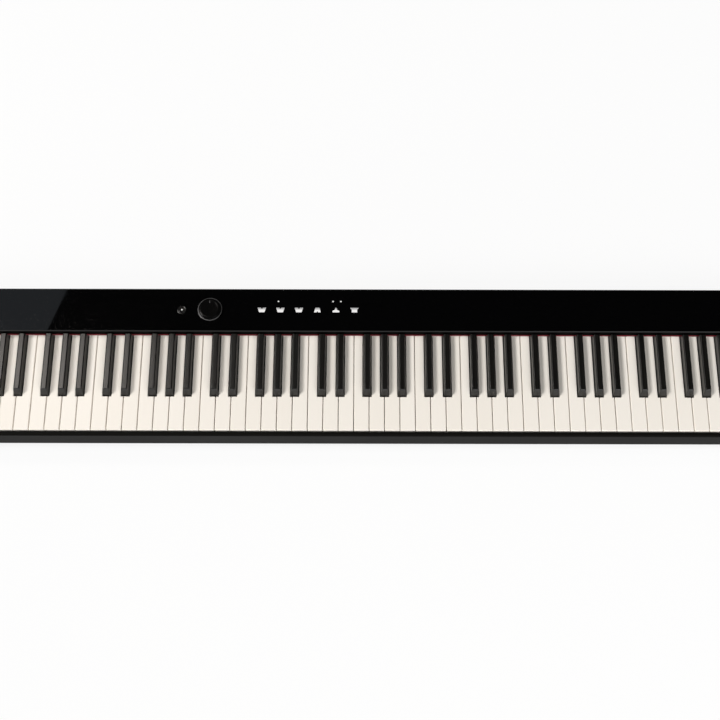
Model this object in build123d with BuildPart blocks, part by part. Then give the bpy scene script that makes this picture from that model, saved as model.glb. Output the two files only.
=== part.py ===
from build123d import *
from math import asin, degrees, sin, sqrt

# A slim slab digital piano. Millimetres; X runs to the treble end, the player sits at -Y, +Z is up.
# The origin is on the table, under the middle of the case.

# Keyboard
white_count = 52
middle_first = 19
middle_count = 14
white_pitch = 23.5
key_gap = 1.0
white_exposed = 153.0
white_head = 53.0
white_sides = 18.0
white_skirt = 22.0
skirt_length = 8.0
key_edge = 0.8
black_slot = 14.2
black_gap = 0.9
black_rise = 12.0
black_shoulder = 9.6
black_flat = 7.0
black_shoulder_drop = 1.2
black_nose = 8.0
white_dip = 10.0
black_dip = 9.5

# How far each black key's middle stands from the joint of the two whites beside it
black_offset = {"c": -2.4, "d": 2.4, "f": -3.3, "g": 0.0, "a": 3.3}

# Key pivot and stops
pivot_inset = 35.0
pivot_radius = 2.5
pivot_drop = 14.0
seat_clearance = 0.1
groove_clearance = 0.02
tail = 18.0
felt_thickness = 3.0
stop_clearance = 0.3
stop_width = 6.0
white_stop_inset = 14.0
black_stop_inset = 59.0
rest_width = 8.0
guide_clearance = 0.5
guide_length = 5.0
guide_room = 4.5
white_guide = 9.0
white_guide_inset = 26.0
white_guide_entry = 3.0
black_guide = 5.4
black_guide_inset = 73.0
black_guide_entry = 6.0
key_roof = 3.0

# Case
case_bottom = 6.0
white_top = 76.0
tray_height = 32.0
belly = 24.0
corner_radius = 8.0
wall = 3.0
rail_depth = 6.5
rail_gap = 1.5
rail_drop = 3.5
rail_wall = 2.2
rail_round = 3.0
rail_hook = 12.0
panel_depth = 71.0
panel_rise = 18.0
panel_thickness = 4.0
panel_edge = 1.2
lip_thickness = 2.5
lip_height = 14.0
felt_proud = 1.0
felt_clearance = 0.6
end_gap = 1.5
end_block_width = 48.5
end_rise = 8.0
end_front_drop = 4.0
end_round = 10.0
seam = 0.5

# Key frame, sensing board and its rubber strip
frame_thickness = 3.0
frame_end_gap = 2.0
frame_front_gap = 9.5
frame_rear_gap = 12.0
frame_flange = 7.0
window_pitch = 68.0
window_length = 52.0
window_depth = 36.0
window_inset = 106.0
pivot_rail_width = 8.0
pivot_rail_drop = 1.5
board_thickness = 1.6
board_rib = 1.5
board_rib_width = 2.0
contact_inset = 122.0
contact_depth = 32.0
strip_base = 1.5
strip_depth = 16.0
ridge_depth = 10.0
ridge_crest = 7.0

# Controls, set out along the middle line of the panel
knob_x = -224.0
knob_radius = 19.0
knob_grip_radius = 16.5
knob_height = 8.0
knob_skirt = 2.4
knob_lift = 0.6
knob_roof = 2.0
pointer_radius = 11.5
pointer_length = 6.6
pointer_width = 1.2
pointer_depth = 0.5
shaft_radius = 3.0
shaft_flat = 1.6
shaft_clearance = 0.06
pot_size = 14.0
bushing_radius = 4.4
bushing_clearance = 0.25
power_x = -267.7
power_radius = 7.2
power_clearance = 0.3
power_proud = 0.6
power_travel = 1.0
power_tab = 1.4
power_tab_width = 5.0
power_tab_height = 1.4
power_stem = 4.0
switch_size = 6.0
switch_height = 3.0
touch_last_x = 1.5
lamp_places = (-118.0, -33.0, -20.8)
lamp_offset = 14.4
lamp_size = 2.2
control_board_drop = 13.0
control_board_end = 16.0
control_board_front = 18.0
control_board_depth = 36.0
standoff_width = 6.0
shaft_foot_gap = 1.0

# Rear panel, its jack bay and the sockets
bay_length = 160.0
bay_height = 22.0
bay_sill = 7.0
bay_depth = 6.0
bay_wall = 2.5
socket_radius = 5.4
socket_clearance = 0.2
socket_body = 13.0
socket_body_length = 27.0
socket_bore = 3.25
socket_bore_depth = 28.0
socket_proud = 1.0
socket_pitch = 30.0
bay_places = 5
phones_pitch = 20.0
phones_height = 16.0
inlet_width = 10.0
inlet_height = 11.0
inlet_length = 15.0
inlet_bore = 3.1
inlet_pin = 1.05
inlet_depth = 9.5
data_width = 12.0
data_height = 10.6
data_length = 17.0
data_wall = 1.2
data_depth = 9.0
tongue_width = 6.0
tongue_height = 3.5
main_board_length = 170.0
main_board_depth = 48.0
main_board_hole_inset = 6.0

# Speakers, firing down through slots in the floor of the case
speaker_inset = 291.0
speaker_y = 12.0
speaker_length = 122.0
speaker_width = 62.0
speaker_flange = 2.0
speaker_rim = 6.0
basket_height = 15.0
basket_taper = 32.0
basket_wall = 1.5
magnet_radius = 19.0
magnet_height = 12.0
slot_count = 7
slot_pitch = 14.0
slot_width = 4.0
slot_length = 44.0

# Feet, stand holes, posts and ribs
foot_inset = 61.0
foot_front_inset = 40.0
foot_rear_inset = 24.0
foot_length = 40.0
foot_width = 14.0
foot_recess = 1.5
stand_inset = 121.0
stand_spread = 120.0
stand_bore = 3.0
stand_depth = 16.0
stand_boss = 14.0
post_inset = 161.0
post_columns = 5
post_front_inset = 48.0
post_rear_inset = 50.0
post_width = 11.0
end_post_front = 56.0
end_post_rear = 170.0
rib_thickness = 2.5
rib_places = (60.0, 170.0)
rib_clear = 14.0

# Planes and lines that follow from the sizes above
keyboard_length = white_count * white_pitch
case_length = keyboard_length + 2 * (end_gap + end_block_width)
case_depth = rail_depth + rail_gap + white_exposed + panel_depth
front = -case_depth / 2
rear = case_depth / 2
rear_inside = rear - wall
key_front = front + rail_depth + rail_gap
panel_front = key_front + white_exposed
control_y = panel_front + panel_depth / 2
pivot_y = panel_front + pivot_inset
tail_end = pivot_y + tail
end_inside = keyboard_length / 2 + end_gap

floor_top = case_bottom + wall
tray_top = case_bottom + tray_height
rail_top = white_top - rail_drop
white_bottom = white_top - white_sides
skirt_bottom = white_top - white_skirt
pivot_z = white_top - pivot_drop
black_top = white_top + black_rise
end_top = white_top + end_rise
panel_top = white_top + panel_rise
panel_under = panel_top - panel_thickness
lip_bottom = panel_top - lip_height

# Keys: the swing that gives each its dip, and the levels its stops need
white_swing = asin(white_dip / (pivot_y - key_front))
black_front = key_front + white_head + black_gap
black_swing = asin(black_dip / (pivot_y - black_front))
white_stop_y = key_front + white_stop_inset
black_stop_y = key_front + black_stop_inset
stop_top = white_bottom - (pivot_y - key_front - white_stop_inset) * sin(white_swing) - stop_clearance
frame_top = stop_top - felt_thickness
frame_bottom = frame_top - frame_thickness
cap_rear = panel_front - felt_proud - felt_clearance
seat_reach = (pivot_radius + seat_clearance) * sqrt(2)
black_width = black_slot - 2 * black_gap
white_width = white_pitch - key_gap


# The keyboard's layout: A to G from the bass end, with the octave number changing at C
def white_letter(index):
    return "abcdefg"[index % 7]


def white_octave(index):
    return (index + 5) // 7


def white_x(index):
    return (index + 0.5) * white_pitch - keyboard_length / 2


def has_black(index):
    return white_letter(index) in black_offset and 0 <= index < white_count - 1


def black_x(index):
    return white_x(index) + white_pitch / 2 + black_offset[white_letter(index)]


# Edges of a white key's narrow rear part, from its own middle
def neck_edges(index):
    left = -white_width / 2
    right = white_width / 2
    if has_black(index - 1):
        left = black_offset[white_letter(index - 1)] + (black_slot - white_pitch) / 2
    if has_black(index):
        right = black_offset[white_letter(index)] - (black_slot - white_pitch) / 2
    return left, right


white_keys = range(white_count)
black_keys = [index for index in white_keys if has_black(index)]


def save(part, name):
    part.label = name
    export_step(part, f"parts/{name}.step")


# White key: a moulding with a deeper front skirt, cut away for the black keys, with a pocket for its guide
# post and a square seat, set on its corner, over the pivot rod
def white_key(left, right):
    head_rear = key_front + white_head
    neck_length = tail_end - head_rear
    with BuildPart() as key:
        with BuildSketch(Plane.YZ.offset(-white_width / 2)):
            with BuildLine():
                Polyline(
                    (key_front, white_top),
                    (key_front, skirt_bottom),
                    (key_front + skirt_length, skirt_bottom),
                    (key_front + skirt_length, white_bottom),
                    (pivot_y - pivot_drop, white_bottom),
                    (pivot_y - pivot_drop + pivot_z - white_bottom, pivot_z),
                    (pivot_y - seat_reach, pivot_z),
                    (pivot_y, pivot_z + seat_reach),
                    (pivot_y + seat_reach, pivot_z),
                    (tail_end, pivot_z),
                    (tail_end, white_top),
                    close=True,
                )
            make_face()
        extrude(amount=white_width)
        for edge, side in ((left, -1), (right, 1)):
            notch = white_width / 2 - side * edge
            if notch > 0:
                with BuildSketch(Plane.XY.offset(skirt_bottom)):
                    with Locations((edge + side * notch / 2, head_rear + neck_length / 2)):
                        Rectangle(notch, neck_length)
                extrude(amount=white_skirt, mode=Mode.SUBTRACT)
        top_edges = key.faces().sort_by(Axis.Z)[-1].edges()
        chamfer([edge for edge in top_edges if edge.bounding_box().min.Y < head_rear - key_edge], key_edge)
        with BuildSketch(Plane.XY.offset(white_bottom)):
            with Locations((0, key_front + white_guide_inset)):
                Rectangle(white_guide + 2 * guide_clearance, guide_length + 2 * guide_room)
        extrude(amount=white_sides - key_roof, mode=Mode.SUBTRACT)
    return key.part


# Black key: a straight body with a raised cap, tapered and shouldered, whose front slopes down
def black_key():
    with BuildPart() as key:
        with BuildSketch(Plane.XZ.offset(-cap_rear)):
            with BuildLine():
                Polyline(
                    (-black_width / 2, white_top),
                    (-black_shoulder / 2, black_top - black_shoulder_drop),
                    (-black_flat / 2, black_top),
                    (black_flat / 2, black_top),
                    (black_shoulder / 2, black_top - black_shoulder_drop),
                    (black_width / 2, white_top),
                    close=True,
                )
            make_face()
        extrude(amount=cap_rear - black_front)
        with BuildSketch(Plane.YZ.offset(-black_width / 2)):
            with BuildLine():
                Polyline(
                    (black_front, white_top),
                    (black_front, black_top),
                    (black_front + black_nose, black_top),
                    close=True,
                )
            make_face()
        extrude(amount=black_width, mode=Mode.SUBTRACT)
        with BuildSketch(Plane.YZ.offset(-black_width / 2)):
            with BuildLine():
                Polyline(
                    (black_front, white_top),
                    (black_front, white_bottom),
                    (pivot_y - pivot_drop, white_bottom),
                    (pivot_y - pivot_drop + pivot_z - white_bottom, pivot_z),
                    (pivot_y - seat_reach, pivot_z),
                    (pivot_y, pivot_z + seat_reach),
                    (pivot_y + seat_reach, pivot_z),
                    (tail_end, pivot_z),
                    (tail_end, white_top),
                    close=True,
                )
            make_face()
        extrude(amount=black_width)
        with BuildSketch(Plane.XY.offset(white_bottom)):
            with Locations((0, key_front + black_guide_inset)):
                Rectangle(black_guide + 2 * guide_clearance, guide_length + 2 * guide_room)
        extrude(amount=white_sides, mode=Mode.SUBTRACT)
    return key.part


# Every white key with the same neck is the same moulding, and so is every black key
white_shapes = {edges: white_key(*edges) for edges in {neck_edges(index) for index in white_keys}}
black_shape = black_key()


# A piece made of the given white keys, or of the black keys that stand after them
def white_set(indices, name):
    with BuildPart() as keys:
        for index in indices:
            with Locations((white_x(index), 0, 0)):
                add(white_shapes[neck_edges(index)])
    save(keys.part, name)


def black_set(indices, name):
    with BuildPart() as keys:
        with Locations(*[(black_x(index), 0, 0) for index in indices]):
            add(black_shape)
    save(keys.part, name)


# The two middle octaves, F3 to E5, are single keys. In the outer octaves the like keys share a piece.
middle_keys = range(middle_first, middle_first + middle_count)

for index in middle_keys:
    white_set([index], f"white_key_{white_letter(index)}{white_octave(index)}")
    if has_black(index):
        black_set([index], f"black_key_{white_letter(index)}s{white_octave(index)}")

outer_keys = [index for index in white_keys if index not in middle_keys]

for letter in "cdefgab":
    white_set([index for index in outer_keys if white_letter(index) == letter], f"outer_{letter}_keys")

for letters in ("cfa", "dg"):
    sharps = [index for index in outer_keys if white_letter(index) in letters and has_black(index)]
    black_set(sharps, f"outer_black_keys_{letters}")


# Plan outline of the whole case, drawn in by an inset, as a tall block that trims a piece to it
def plan_block(inset=0.0):
    with BuildPart() as block:
        with BuildSketch():
            RectangleRounded(case_length - 2 * inset, case_depth - 2 * inset, corner_radius - inset)
        extrude(amount=panel_top)
    return block.part


# Places along the case that several pieces share
post_pitch = (case_length - 2 * post_inset) / (post_columns - 1)
post_columns_x = [(column - (post_columns - 1) / 2) * post_pitch for column in range(post_columns)]
frame_posts = [(x, y) for x in post_columns_x for y in (front + post_front_inset, rear - post_rear_inset)]
end_middle = end_inside + end_block_width / 2
end_posts = [(x, front + y) for x in (-end_middle, end_middle) for y in (end_post_front, end_post_rear)]
foot_x = case_length / 2 - foot_inset
feet = [(x, y) for x in (-foot_x, foot_x) for y in (front + foot_front_inset, rear - foot_rear_inset)]
stand_x = case_length / 2 - stand_inset
stand_holes = [(x, y) for x in (-stand_x, stand_x) for y in (-stand_spread / 2, stand_spread / 2)]
speaker_x = case_length / 2 - speaker_inset
speakers_at = [(-speaker_x, speaker_y), (speaker_x, speaker_y)]
beside_speaker = speaker_length / 2 + rib_clear
outer_ribs = (speaker_x - beside_speaker, speaker_x + beside_speaker, stand_x + rib_clear)
rib_xs = [side * x for side in (-1, 1) for x in rib_places + outer_ribs]
rib_front = front + belly + wall
rib_length = panel_front - rib_front

# Jack bay: sunk into the rear panel, with the main board behind it
bay_x = -post_pitch / 2
bay_floor = rear - bay_depth
bay_back = bay_floor - wall
socket_z = case_bottom + bay_sill + bay_height / 2
bay_middle = bay_places // 2
inlet_x, data_x, *socket_xs = [bay_x + (place - bay_middle) * socket_pitch for place in range(bay_places)]
main_board_top = socket_z - socket_body / 2
main_board_y = bay_back - seam - main_board_depth / 2
phones_z = tray_top + phones_height
phones_xs = [-end_middle - phones_pitch / 2, -end_middle + phones_pitch / 2]


# Tray of the lower case, drawn in by an inset: a rounded belly in front, upright ends, open behind
def tray_volume(inset):
    with BuildPart() as volume:
        with BuildSketch(Plane.YZ):
            with BuildLine():
                CenterArc((front + belly, case_bottom + belly), belly - inset, 180, 90)
                Polyline(
                    (front + belly, case_bottom + inset),
                    (rear_inside, case_bottom + inset),
                    (rear_inside, tray_top),
                    (front + inset, tray_top),
                    (front + inset, case_bottom + belly),
                )
            make_face()
        extrude(amount=case_length / 2 - inset, both=True)
        add(plan_block(inset), mode=Mode.INTERSECT)
    return volume.part


def facing_down(places, z):
    return [Plane((x, y, z), x_dir=(1, 0, 0), z_dir=(0, 0, -1)) for x, y in places]


# Lower case: tray with ribs and posts under the key frame, stand bosses, foot recesses and speaker slots
with BuildPart() as lower_case:
    add(tray_volume(0))
    add(tray_volume(wall), mode=Mode.SUBTRACT)
    with BuildSketch(Plane.XY.offset(floor_top)):
        with Locations(*[(x, rib_front + rib_length / 2) for x in rib_xs]):
            Rectangle(rib_thickness, rib_length)
    extrude(amount=frame_bottom - floor_top)
    with BuildSketch(Plane.XY.offset(floor_top)):
        with Locations(*frame_posts):
            Rectangle(post_width, post_width)
    extrude(amount=frame_bottom - floor_top)
    with BuildSketch(Plane.XY.offset(floor_top)):
        with Locations(*end_posts):
            Rectangle(post_width, post_width)
    extrude(amount=tray_top - floor_top)
    with BuildSketch(Plane.XY.offset(case_bottom)):
        with Locations(*stand_holes):
            Rectangle(stand_boss, stand_boss)
    extrude(amount=stand_depth + wall)
    with BuildSketch(Plane.XY.offset(floor_top)):
        with Locations((bay_x, main_board_y)):
            with GridLocations(main_board_length - 2 * main_board_hole_inset, main_board_depth / 2, 2, 2):
                Rectangle(standoff_width, standoff_width)
    extrude(amount=main_board_top - board_thickness - floor_top)
    with Locations(*facing_down(stand_holes, case_bottom)):
        Hole(stand_bore, stand_depth)
    with BuildSketch(Plane.XY.offset(case_bottom)):
        with Locations(*feet):
            Rectangle(foot_length, foot_width)
    extrude(amount=foot_recess, mode=Mode.SUBTRACT)
    with BuildSketch(Plane.XY.offset(case_bottom)):
        with Locations(*speakers_at):
            with GridLocations(slot_pitch, 0, slot_count, 1):
                Rectangle(slot_width, slot_length)
    extrude(amount=wall, mode=Mode.SUBTRACT)
save(lower_case.part, "lower_case")


# Rubber feet, pressed into the recesses
with BuildPart() as rubber_feet:
    with BuildSketch():
        with Locations(*feet):
            Rectangle(foot_length - seam, foot_width - seam)
    extrude(amount=case_bottom + foot_recess)
save(rubber_feet.part, "rubber_feet")


# Front rail: a channel with a rounded top front edge, standing on the tray's front wall
with BuildPart() as front_rail:
    rail_back = front + rail_depth
    with BuildSketch(Plane.YZ):
        with BuildLine():
            CenterArc((front + rail_round, rail_top - rail_round), rail_round, 90, 90)
            Polyline(
                (front, rail_top - rail_round),
                (front, tray_top),
                (front + rail_wall, tray_top),
                (front + rail_wall, rail_top - 2 * rail_wall),
                (rail_back - rail_wall, rail_top - rail_wall),
                (rail_back - rail_wall, rail_top - rail_hook),
                (rail_back, rail_top - rail_hook),
                (rail_back, rail_top),
                (front + rail_round, rail_top),
            )
        make_face()
    extrude(amount=end_inside - seam, both=True)
save(front_rail.part, "front_rail")


# Volume of an end block, drawn in by an inset: rounded front, sloping top, step up under the panel
def end_volume(side, inset):
    top_front = end_top - end_front_drop
    step = panel_front + seam + inset
    with BuildPart() as volume:
        with BuildSketch(Plane.YZ.offset(side * (end_inside + inset))):
            with BuildLine():
                CenterArc((front + end_round, top_front - end_round), end_round - inset, 90, 90)
                Polyline(
                    (front + inset, top_front - end_round),
                    (front + inset, tray_top),
                    (rear_inside - inset, tray_top),
                    (rear_inside - inset, panel_under - inset),
                    (step, panel_under - inset),
                    (step, end_top - inset),
                    (front + end_round, top_front - inset),
                )
            make_face()
        extrude(amount=side * (end_block_width - 2 * inset))
    return volume.part


# End block: a shell, open below, which stands on the rim and the posts of the tray
def end_block(side):
    posts_here = [place for place in end_posts if place[0] * side > 0]
    with BuildPart() as block:
        add(end_volume(side, 0))
        add(plan_block(), mode=Mode.INTERSECT)
        add(end_volume(side, wall), mode=Mode.SUBTRACT)
        with BuildSketch(Plane.XY.offset(tray_top)):
            with Locations(*posts_here):
                Rectangle(post_width, post_width)
        extrude(amount=panel_under - tray_top)
        add(end_volume(side, 0), mode=Mode.INTERSECT)
        if side < 0:
            with BuildSketch(Plane.XZ.offset(-front)):
                with Locations(*[(x, phones_z) for x in phones_xs]):
                    Circle(socket_radius + socket_clearance)
            extrude(amount=-wall, mode=Mode.SUBTRACT)
    return block.part


save(end_block(-1), "left_end_block")
save(end_block(1), "right_end_block")


# Key frame: a plate on the ribs, with windows, guide posts, the pivot rail and the rest rail
frame_length = keyboard_length - 2 * frame_end_gap
frame_front = key_front + frame_front_gap
frame_rear = rear - frame_rear_gap
contact_y = key_front + contact_inset + contact_depth / 2
contact_length = frame_length - 2 * frame_end_gap
rest_top = pivot_z - stop_clearance - felt_thickness
rest_y = tail_end - rest_width / 2
black_places = [(black_x(index), key_front + black_guide_inset) for index in black_keys]
white_places = [(white_x(index), key_front + white_guide_inset) for index in white_keys]

with BuildPart() as key_frame:
    with BuildSketch(Plane.XY.offset(frame_bottom)):
        with Locations((0, (frame_front + frame_rear) / 2)):
            Rectangle(frame_length, frame_rear - frame_front)
        with Locations((0, front + window_inset)):
            with GridLocations(window_pitch, 0, int(frame_length // window_pitch), 1):
                Rectangle(window_length, window_depth, mode=Mode.SUBTRACT)
    extrude(amount=frame_thickness)
    with BuildSketch(Plane.XY.offset(frame_bottom)):
        with Locations((0, frame_front + frame_thickness / 2)):
            Rectangle(frame_length, frame_thickness)
    extrude(amount=-frame_flange)
    with BuildSketch(Plane.XY.offset(frame_top)):
        with Locations((0, pivot_y)):
            Rectangle(frame_length, pivot_rail_width)
    extrude(amount=pivot_z - pivot_rail_drop - frame_top)
    with BuildSketch(Plane.XY.offset(frame_top)):
        with Locations((0, rest_y)):
            Rectangle(frame_length, rest_width)
    extrude(amount=rest_top - frame_top)
    with BuildSketch(Plane.XY.offset(frame_top)):
        with Locations((0, contact_y)):
            with GridLocations(0, contact_depth - board_rib_width, 1, 2):
                Rectangle(contact_length, board_rib_width)
    extrude(amount=board_rib)
    with BuildSketch(Plane.XY.offset(frame_top)):
        with Locations(*white_places):
            Rectangle(white_guide, guide_length)
    extrude(amount=white_bottom - frame_top + white_guide_entry)
    with BuildSketch(Plane.XY.offset(frame_top)):
        with Locations(*black_places):
            Rectangle(black_guide, guide_length)
    extrude(amount=white_bottom - frame_top + black_guide_entry)
    with BuildSketch(Plane.YZ.offset(-frame_length / 2)):
        with Locations((pivot_y, pivot_z)):
            Circle(pivot_radius + groove_clearance)
    extrude(amount=frame_length, mode=Mode.SUBTRACT)
save(key_frame.part, "key_frame")


# Pivot rod: lies in the rail's groove and carries the seats of all the keys
with BuildPart() as pivot_rod:
    with BuildSketch(Plane.YZ.offset(-frame_length / 2)):
        with Locations((pivot_y, pivot_z)):
            Circle(pivot_radius)
    extrude(amount=frame_length)
save(pivot_rod.part, "pivot_rod")


# Stop felts: two strips that the keys land on in front, and one that their tails rest on
with BuildPart() as stop_felts:
    with BuildSketch(Plane.XY.offset(frame_top)):
        with Locations((0, white_stop_y), (0, black_stop_y)):
            Rectangle(frame_length, stop_width)
    extrude(amount=felt_thickness)
    with BuildSketch(Plane.XY.offset(rest_top)):
        with Locations((0, rest_y)):
            Rectangle(frame_length, rest_width)
    extrude(amount=felt_thickness)
save(stop_felts.part, "stop_felts")


# Contact board on its two ribs, and the rubber strip whose ridge runs under all the keys
contact_bottom = frame_top + board_rib
strip_bottom = contact_bottom + board_thickness
ridge_bottom = strip_bottom + strip_base
ridge_reach = pivot_y - contact_y + ridge_depth / 2
ridge_top = white_bottom - ridge_reach * sin(black_swing) - stop_clearance

with BuildPart() as contact_board:
    with BuildSketch(Plane.XY.offset(contact_bottom)):
        with Locations((0, contact_y)):
            Rectangle(contact_length, contact_depth)
    extrude(amount=board_thickness)
save(contact_board.part, "contact_board")

with BuildPart() as contact_strip:
    with BuildSketch(Plane.YZ):
        with BuildLine():
            Polyline(
                (contact_y - strip_depth / 2, strip_bottom),
                (contact_y - strip_depth / 2, ridge_bottom),
                (contact_y - ridge_depth / 2, ridge_bottom),
                (contact_y - ridge_crest / 2, ridge_top),
                (contact_y + ridge_crest / 2, ridge_top),
                (contact_y + ridge_depth / 2, ridge_bottom),
                (contact_y + strip_depth / 2, ridge_bottom),
                (contact_y + strip_depth / 2, strip_bottom),
                close=True,
            )
        make_face()
    extrude(amount=contact_length / 2, both=True)
save(contact_strip.part, "contact_strip")


# Top panel: gloss plate with a turned-down front lip and standoffs for its board
control_board_top = panel_top - control_board_drop + board_thickness
lamps = [(x, control_y + lamp_offset) for x in lamp_places]
control_board_left = power_x - control_board_end
control_board_right = touch_last_x + control_board_end
control_board_x = (control_board_left + control_board_right) / 2
control_board_length = control_board_right - control_board_left
control_board_y = panel_front + control_board_front + control_board_depth / 2

with BuildPart() as top_panel:
    with BuildSketch(Plane.XY.offset(panel_under)):
        with Locations((0, panel_front + panel_depth / 2)):
            Rectangle(case_length, panel_depth)
    extrude(amount=panel_thickness)
    add(plan_block(), mode=Mode.INTERSECT)
    chamfer(top_panel.faces().sort_by(Axis.Z)[-1].edges(), panel_edge)
    with BuildSketch(Plane.XY.offset(lip_bottom)):
        with Locations((0, panel_front + lip_thickness / 2)):
            Rectangle(2 * (end_inside - seam), lip_thickness)
    extrude(amount=panel_under - lip_bottom)
    with BuildSketch(Plane.XY.offset(control_board_top)):
        with Locations((control_board_x, control_board_y)):
            with GridLocations(
                control_board_length - standoff_width, control_board_depth - standoff_width, 2, 2
            ):
                Rectangle(standoff_width, standoff_width)
    extrude(amount=panel_under - control_board_top)
    with Locations((knob_x, control_y, panel_top)):
        Hole(bushing_radius + bushing_clearance, panel_thickness)
    with Locations((power_x, control_y, panel_top)):
        Hole(power_radius + power_clearance, panel_thickness)
    with BuildSketch(Plane.XY.offset(panel_top)):
        with Locations(*lamps):
            Rectangle(lamp_size, lamp_size)
    extrude(amount=-panel_thickness, mode=Mode.SUBTRACT)
save(top_panel.part, "top_panel")

# Lamps: light pipes from the board to the face of the panel
with BuildPart() as indicator_lamps:
    with BuildSketch(Plane.XY.offset(control_board_top)):
        with Locations(*lamps):
            Rectangle(lamp_size, lamp_size)
    extrude(amount=panel_top - control_board_top)
save(indicator_lamps.part, "indicator_lamps")

# Red felt under the panel's lip
with BuildPart() as key_felt:
    with BuildSketch(Plane.XY.offset(white_top + felt_clearance)):
        with Locations((0, panel_front + (lip_thickness - felt_proud) / 2)):
            Rectangle(keyboard_length, lip_thickness + felt_proud)
    extrude(amount=lip_bottom - white_top - felt_clearance)
save(key_felt.part, "key_felt")


# Panel board with the power switch on it
switch_top = control_board_top + switch_height

with BuildPart() as panel_board:
    with BuildSketch(Plane.XY.offset(control_board_top)):
        with Locations((control_board_x, control_board_y)):
            Rectangle(control_board_length, control_board_depth)
    extrude(amount=-board_thickness)
    with BuildSketch(Plane.XY.offset(control_board_top)):
        with Locations((power_x, control_y)):
            Rectangle(switch_size, switch_size)
    extrude(amount=switch_height)
save(panel_board.part, "panel_board")

# Power button: a round cap, held under the panel by two tabs, with a stem over the switch
with BuildPart() as power_button:
    tab_top = panel_under - power_clearance
    tab_bottom = tab_top - power_tab_height
    with BuildSketch(Plane.XY.offset(tab_bottom)):
        with Locations((power_x, control_y)):
            Rectangle(2 * (power_radius + power_tab), power_tab_width)
    extrude(amount=power_tab_height)
    with BuildSketch(Plane.XY.offset(tab_bottom)):
        with Locations((power_x, control_y)):
            Circle(power_radius)
    extrude(amount=panel_top + power_proud - tab_bottom)
    with BuildSketch(Plane.XY.offset(tab_bottom)):
        with Locations((power_x, control_y)):
            Rectangle(power_stem, power_stem)
    extrude(amount=switch_top + power_travel + power_clearance - tab_bottom)
save(power_button.part, "power_button")


# Volume control: potentiometer on the board, its shaft with a flat, and the knob on the shaft
knob_bottom = panel_top + knob_lift
knob_top = panel_top + knob_height
knob_axis = Axis((knob_x, control_y, 0), (0, 0, 1))
shaft_top = knob_top - knob_roof


def flatted_round(radius, flat):
    with Locations((knob_x, control_y)):
        Circle(radius)
    with Locations((knob_x, control_y + flat + radius / 2)):
        Rectangle(2 * radius, radius, mode=Mode.SUBTRACT)


with BuildPart() as volume_potentiometer:
    with BuildSketch(Plane.XY.offset(control_board_top)):
        with Locations((knob_x, control_y)):
            Rectangle(pot_size, pot_size)
    extrude(amount=panel_under - seam - control_board_top)
    with BuildSketch(Plane.XY.offset(panel_under - seam)):
        with Locations((knob_x, control_y)):
            Circle(bushing_radius)
    extrude(amount=panel_thickness)
    with Locations((knob_x, control_y, panel_top - seam)):
        Hole(shaft_radius + shaft_clearance, panel_top - 2 * seam - control_board_top)
save(volume_potentiometer.part, "volume_potentiometer")

with BuildPart() as volume_shaft:
    with BuildSketch(Plane.XY.offset(control_board_top + shaft_foot_gap)):
        with Locations((knob_x, control_y)):
            Circle(shaft_radius)
    extrude(amount=knob_bottom - control_board_top - shaft_foot_gap)
    with BuildSketch(Plane.XY.offset(knob_bottom)):
        flatted_round(shaft_radius, shaft_flat)
    extrude(amount=shaft_top - knob_bottom)
save(volume_shaft.part, "volume_shaft")

with BuildPart() as volume_knob:
    with BuildSketch(Plane.XZ.offset(-control_y)):
        with BuildLine():
            Polyline(
                (knob_x, knob_bottom),
                (knob_x + knob_radius, knob_bottom),
                (knob_x + knob_radius, knob_bottom + knob_skirt),
                (knob_x + knob_grip_radius, knob_bottom + knob_skirt),
                (knob_x + knob_grip_radius, knob_top),
                (knob_x, knob_top),
                close=True,
            )
        make_face()
    revolve(axis=knob_axis)
    with BuildSketch(Plane.XY.offset(knob_bottom)):
        flatted_round(shaft_radius + shaft_clearance, shaft_flat + shaft_clearance)
    extrude(amount=shaft_top + shaft_clearance - knob_bottom, mode=Mode.SUBTRACT)
    with BuildSketch(Plane.XY.offset(knob_top)):
        with Locations((knob_x, control_y + pointer_radius)):
            Rectangle(pointer_width, pointer_length)
    extrude(amount=-pointer_depth, mode=Mode.SUBTRACT)
save(volume_knob.part, "volume_knob")


# Rear panel: closes the case behind, with the jack bay sunk into it
with BuildPart() as rear_panel:
    with BuildSketch(Plane.XZ.offset(-rear_inside)):
        with Locations((0, (case_bottom + panel_under) / 2)):
            Rectangle(case_length, panel_under - case_bottom)
    extrude(amount=-wall)
    add(plan_block(), mode=Mode.INTERSECT)
    with BuildSketch(Plane.XZ.offset(-bay_back)):
        with Locations((bay_x, socket_z)):
            Rectangle(bay_length + 2 * bay_wall, bay_height + 2 * bay_wall)
    extrude(amount=bay_back - rear_inside)
    with BuildSketch(Plane.XZ.offset(-rear)):
        with Locations((bay_x, socket_z)):
            Rectangle(bay_length, bay_height)
    extrude(amount=bay_depth, mode=Mode.SUBTRACT)
    with BuildSketch(Plane.XZ.offset(-rear)):
        with Locations(*[(x, socket_z) for x in socket_xs]):
            Circle(socket_radius + socket_clearance)
        with Locations((inlet_x, main_board_top + inlet_height / 2)):
            Rectangle(inlet_width + 2 * socket_clearance, inlet_height + 2 * socket_clearance)
        with Locations((data_x, main_board_top + data_height / 2)):
            Rectangle(data_width + 2 * socket_clearance, data_height + 2 * socket_clearance)
    extrude(amount=bay_depth + wall, mode=Mode.SUBTRACT)
save(rear_panel.part, "rear_panel")


# Main board on its standoffs
with BuildPart() as main_board:
    with BuildSketch(Plane.XY.offset(main_board_top)):
        with Locations((bay_x, main_board_y)):
            Rectangle(main_board_length, main_board_depth)
    extrude(amount=-board_thickness)
save(main_board.part, "main_board")


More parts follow.
